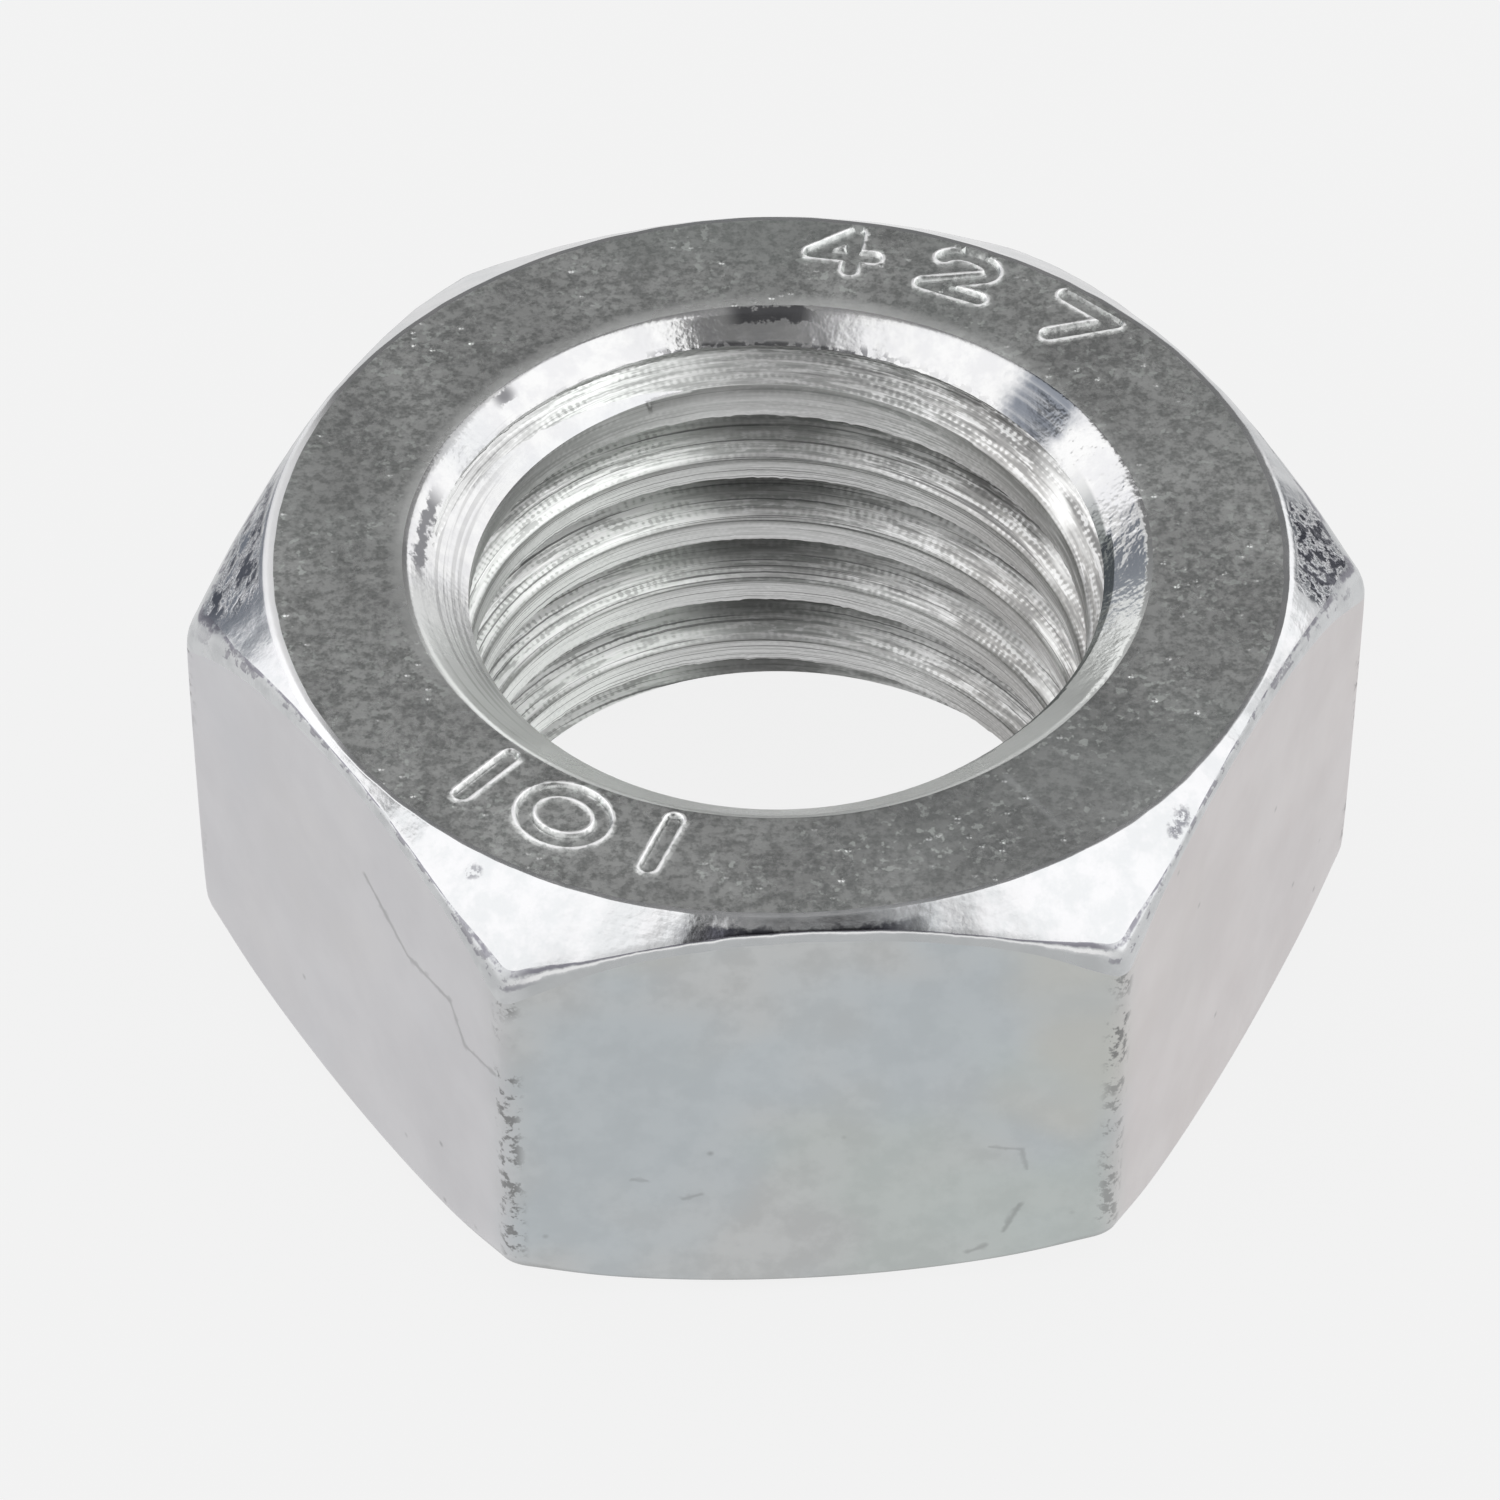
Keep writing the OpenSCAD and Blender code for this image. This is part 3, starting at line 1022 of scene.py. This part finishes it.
def paint_thread_light_and_shade(w, cut):
    """Painted light and shade on the lands and grooves: the right is painted darker than the left, the deeper
    roots lighter at the sides, the upper roots and the top turn's groove darker, and the lands greyer in the
    middle.
    """
    # painted light and shade: lighter towards the left, darker towards the right
    w.paint((0.90, 0.93, 0.90), w.ramp_mm(w.x, 0.5, -4, 0, 0.85))
    w.paint((0.96, 0.98, 0.96), w.ramp_mm(w.x, -6, -9, 0, 0.4))
    w.paint((0.42, 0.41, 0.40), w.ramp_mm(w.x, 5, 8.5, 0, 0.8))
    # the lands are greyer in the middle and, in the top turn, darker on the left
    on_land = w.ramp(w.across, 1.0, 0.9)
    top_turn = w.ramp(w.along, FIRST_LAND_START - 8, FIRST_LAND_START + 4)
    w.paint(grey(0.57), on_land, w.ramp_mm(w.aside(), 6, 3, 0, 0.6))
    w.paint((0.36, 0.37, 0.36), on_land, top_turn, w.ramp_mm(w.x, -1, -6, 0, 0.75))
    root = w.times(w.ramp(w.across, 1.15, 1.45), w.ramp(w.across, 2.95, 2.6))
    deeper = w.ramp(w.along, FIRST_GROOVE_END + 4, FIRST_GROOVE_END - 4)
    # painted light in the deeper roots at the sides
    w.paint(grey(0.95), root, w.ramp_mm(w.aside(), 3, 6, 0, 0.5), deeper)
    # painted shade in the upper roots at the sides
    shaded = w.times(root, w.ramp_mm(w.aside(), 6, 9, 0, 0.6), w.math("SUBTRACT", 1.0, deeper))
    w.paint(grey(0.22), shaded)
    # painted shade in the top turn's groove near the middle
    w.paint(grey(0.30), cut, top_turn, w.ramp_mm(w.aside(), 6, 3, 0, 0.4))


def mark_thread(w, cut):
    """Rows of small tool marks, stronger at the sides than in the middle, and fainter on the lands."""
    beat = w.math("MULTIPLY_ADD", strand(w, 2.0, 0.6, 17.0), 9.0, w.times(w.along, tau / TOOL_MARK_STEP))
    row = w.math("MULTIPLY_ADD", strand(w, 3.0, 0.8, 19.0), 5.0, w.times(w.across, tau / TOOL_MARK_ROW))
    weave = w.times(w.math("SINE", beat), w.math("SINE", row))
    weave = w.times(weave, w.ramp(strand(w, 3.0, 0.35, 23.0), 0.42, 0.60, 0.03, 0.11))
    marks = w.math("ADD", weave, strand(w, 1.6, 0.10, 21.0))
    share = w.times(w.ramp_mm(w.aside(), 1, 5, 0.25, 0.6), w.math("MULTIPLY_ADD", cut, 0.7, 0.3))
    w.paint(grey(0.20), w.ramp(marks, 0.50, 0.38), share, 0.8)
    w.paint(grey(0.98), w.ramp(marks, 0.50, 0.62), share)


def thread_zinc():
    """The cut thread: long streaks, rows of small tool marks and thin dark lines along the helix."""
    w = Finish("zinc_thread")
    w.along, w.across, _ = w.split(w.node("ShaderNodeUVMap", uv_map="thread_strip").outputs["UV"])
    streaks = strand(w, 9.0, 0.10, 0.0)
    chatter = strand(w, 0.5, 0.10, 5.0)
    cut = w.times(w.ramp(w.across, 0.93, 1.05), w.ramp(w.across, 2.98, 2.8))
    w.colour = w.blend(w.ramp(streaks, 0.35, 0.65), rgb(0.44, 0.45, 0.44), rgb(0.70, 0.70, 0.695))
    w.paint(grey(0.84), w.ramp(chatter, 0.50, 0.64), 0.65)
    paint_thread_light_and_shade(w, cut)
    mark_thread(w, cut)
    # painted highlight: bright streaks on the right side of the bore
    painted_highlight = w.times(w.ramp(strand(w, 7.0, 0.5, 13.0), 0.46, 0.58), w.ramp_mm(w.x, 9.2, 10.2), 0.8)
    w.paint((0.98, 0.98, 0.97), painted_highlight)
    # painted shade: a dark crescent under each land near the middle, fading out towards the top
    crescent_shade = w.times(w.ramp(w.across, 1.25, 1.60), w.ramp_mm(w.aside(), 3.6, 0.8))
    w.paint(grey(0.16), crescent_shade, w.ramp_mm(w.z, 14.6, 12.4, 0.0, 0.45))
    run_out = w.times(w.ramp_mm(w.z, 15.4, 16.0), w.ramp_mm(w.x, -6.5, -9.5))
    w.paint(grey(0.66), run_out, 0.75)
    # painted highlight: a broken bright glint along the lip at the back left, less metallic so that it stays
    # bright
    lip_glint = w.times(w.ramp(ridge_and_lip_mask(w), 0.05, 0.40), w.ramp_mm(w.x, -1.5, -4), w.ramp_mm(w.y, 1.5, 3.5))
    lip_glint = w.times(lip_glint, w.ramp(w.noise(3000, 2.0), 0.40, 0.55, 0.75, 1.0))
    w.paint((0.96, 0.97, 0.96), lip_glint)
    seams = w.ramp(strand(w, 16.0, 0.07, 9.0), 0.44, 0.36)
    seams = w.times(seams, w.ramp(w.along, FIRST_LAND_START, FIRST_LAND_START - 10, 0.35, 0.8))
    w.paint(grey(0.16), w.most(seams, lip_shadow(w), burr_dots(w)))
    w.less_metallic(lip_glint, 0.9)
    w.roughness = w.math("MULTIPLY_ADD", run_out, -0.18, 0.38)
    height = w.math("ADD", w.times(chatter, 0.35), streaks)
    w.emboss(w.times(height, w.math("MULTIPLY_ADD", cut, 0.75, 0.25)), 0.020)
    return w.finish()


# ---- studio
BACKGROUND, WORLD_LIGHT = 0.885, 0.55
FLOOR_GLOW = 0.905  # with its diffuse share the floor comes out like the background
FLOOR_HALF, FLOOR_DROP = 0.9, 0.00002  # metres
# the view: its direction and roll in degrees, then its distance and shifts in widths across flats
VIEW_AZIMUTH, VIEW_ELEVATION, VIEW_ROLL = 3.7717, 45.0901, 0.1449
VIEW_DISTANCE, VIEW_LEFT, VIEW_DOWN = 6.7489, 0.0268, 0.015
FOCAL_LENGTH = 163.8  # millimetres, for a sensor 36 mm wide
# soft lamps: name, direction from the nut, width and length in metres, radiance
LAMPS = (
    ("softbox_left", (-0.64, 0.05, 0.75), 0.66, 0.78, 0.58),
    ("softbox_right", (0.65, -0.12, 0.75), 0.45, 0.75, 0.58),
    ("softbox_right_low", (0.729, 0.549, 0.407), 0.28, 0.21, 0.56),
)
# cards: name, azimuth, elevation, width and height in degrees, distance in metres, radiance
CARDS = (
    ("card_back", 87, 36.5, 66, 33, 0.4, grey(0.25)),
    ("card_back_low", 90, 10.5, 26, 19, 0.42, grey(0.25)),
    ("card_camera", -84, 52, 29, 44, 0.4, grey(0.23)),
    ("card_lens", -91, 47, 22, 14, 0.36, grey(0.03)),
    ("card_top", 90, 90, 26, 74, 0.41, grey(0.32)),
    ("card_left_low", 132, 9.5, 26, 19, 0.4, (0.23, 0.25, 0.29)),
    ("card_right_low", 44, 3, 14, 11, 0.4, (0.16, 0.17, 0.19)),
    ("card_left_gap", 172, 39, 13, 9, 0.4, grey(0.35)),
    ("card_left_fill", 145, 22, 13, 11, 0.39, (1.45, 1.45, 1.47)),
)


def aim(obj, direction, distance):
    """Puts obj at that distance in that direction from the nut's middle, facing it."""
    way = Vector(direction).normalized()
    obj.location = Vector((0, 0, 0.009)) + way * distance
    obj.rotation_euler = way.to_track_quat("Z", "Y").to_euler()


def towards(azimuth, elevation):
    """The direction of a bearing and a height above the horizon, both in degrees."""
    turn, rise = radians(azimuth), radians(elevation)
    return Vector((cos(turn) * cos(rise), sin(turn) * cos(rise), sin(rise)))


def add_sheet(name, half_width, half_height):
    """A flat rectangle, still without a material."""
    mesh = bpy.data.meshes.new(name)
    corners = [(a * half_width, b * half_height, 0) for a, b in ((-1, -1), (1, -1), (1, 1), (-1, 1))]
    mesh.from_pydata(corners, [], [(0, 1, 2, 3)])
    return add_object(name, mesh)


def make_world():
    """A white background that lights the nut less than it shows."""
    world = bpy.data.worlds.new("studio")
    bpy.context.scene.world = world
    world.use_nodes = True
    w = Wiring(world.node_tree)
    colour = w.blend(w.light_path(), rgb(*grey(WORLD_LIGHT)), rgb(*grey(BACKGROUND)))
    w.link(colour, w.tree.nodes["Background"].inputs["Color"])


def make_floor():
    """A pale floor that keeps a light shadow, open to a camera below it."""
    floor = add_sheet("floor", FLOOR_HALF, FLOOR_HALF)
    floor.location.z = -FLOOR_DROP
    w = Finish("floor")
    diffuse = w.node("ShaderNodeBsdfDiffuse", {"Color": rgb(*grey(0.8))})
    glow = w.node("ShaderNodeEmission", {"Color": rgb(*grey(FLOOR_GLOW))})
    lit = w.times(w.light_path(), 0.94)
    top = w.node("ShaderNodeMixShader", {0: lit, 1: diffuse.outputs[0], 2: glow.outputs[0]})
    clear = w.node("ShaderNodeBsdfTransparent")
    below = w.node("ShaderNodeNewGeometry").outputs["Backfacing"]
    both = w.node("ShaderNodeMixShader", {0: below, 1: top.outputs[0], 2: clear.outputs[0]})
    floor.data.materials.append(w.show(both))


def make_lamp(name, direction, width, length, radiance):
    """A rectangular area light half a metre away."""
    light = bpy.data.lights.new(name, "AREA")
    light.shape = "RECTANGLE"
    light.size, light.size_y = width, length
    light.energy = radiance * pi * width * length
    aim(add_object(name, light), direction, 0.5)


def make_card(name, azimuth, elevation, width, height, distance, radiance):
    """A dull card outside the picture, seen only in the metal."""
    half_width, half_height = (distance * tan(radians(side / 2)) for side in (width, height))
    sheet = add_sheet(name, half_width, half_height)
    aim(sheet, towards(azimuth, elevation), distance)
    w = Finish(name)
    sheet.data.materials.append(w.show(w.node("ShaderNodeEmission", {"Color": rgb(*radiance)})))
    sheet.visible_camera = False
    sheet.visible_diffuse = False
    sheet.visible_shadow = False


def make_camera():
    """A long lens at the front, above the nut, turned slightly to its left."""
    forward = -towards(-90 - VIEW_AZIMUTH, VIEW_ELEVATION)
    right = forward.cross(Vector((0, 0, 1))).normalized()
    up = right.cross(forward)
    roll = radians(VIEW_ROLL)
    turned_right = right * cos(roll) + up * sin(roll)
    turned_up = up * cos(roll) - right * sin(roll)
    away = (forward * VIEW_DISTANCE + right * VIEW_LEFT + up * VIEW_DOWN) * FLATS
    place = Vector((0, 0, HEIGHT / 2)) - away
    data = bpy.data.cameras.new("camera")
    data.sensor_width = 36.0
    data.lens = FOCAL_LENGTH
    data.clip_start, data.clip_end = 0.01, 10
    camera = add_object("camera", data)
    turn = Matrix((turned_right, turned_up, -forward)).transposed()
    camera.matrix_world = Matrix.Translation(place * MM) @ turn.to_4x4()
    bpy.context.scene.camera = camera


nut = build_nut()
for make_material in (face_zinc, chamfer_zinc, edge_zinc, flat_zinc, countersink_zinc, thread_zinc):
    nut.data.materials.append(make_material())
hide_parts("hex_nut")
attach(nut, "root")

make_world()
make_floor()
for lamp in LAMPS:
    make_lamp(*lamp)
for card in CARDS:
    make_card(*card)
make_camera()
bpy.context.scene.view_settings.view_transform = "Standard"
